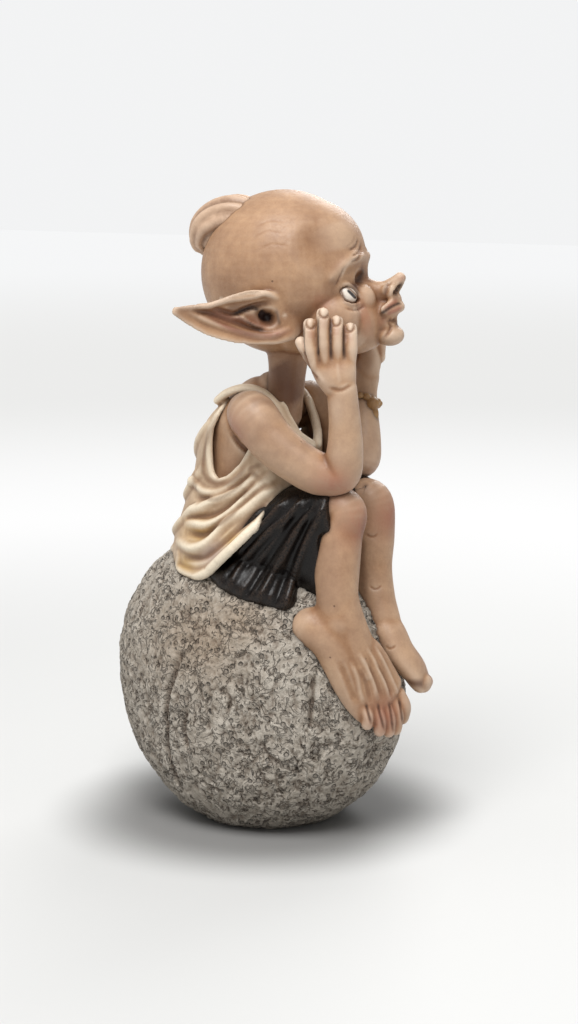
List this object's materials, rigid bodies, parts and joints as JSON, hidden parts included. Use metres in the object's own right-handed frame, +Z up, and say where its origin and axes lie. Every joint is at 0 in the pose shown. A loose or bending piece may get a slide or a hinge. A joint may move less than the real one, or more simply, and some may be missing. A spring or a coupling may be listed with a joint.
{
  "type": "pixie figurine",
  "caption": "Painted resin garden pixie with long pointed ears, seated on a rounded pitted stone with chin in hands, elbows on knees and bare feet hanging over its front.",
  "frame": {"origin": "centre of the flat base under the stone", "axes": "+X the way the knees and chest face, +Y the figure's left, +Z up from the flat base"},
  "size_m": [0.0954, 0.0697, 0.1769],
  "materials": {
    "painted_resin": "cast polyresin, hand painted and washed: tan skin, cream tunic, near-black skirt, grey-beige stone"
  },
  "bodies": {
    "root": {"pixie_figurine": "painted_resin"}
  },
  "joints": []
}
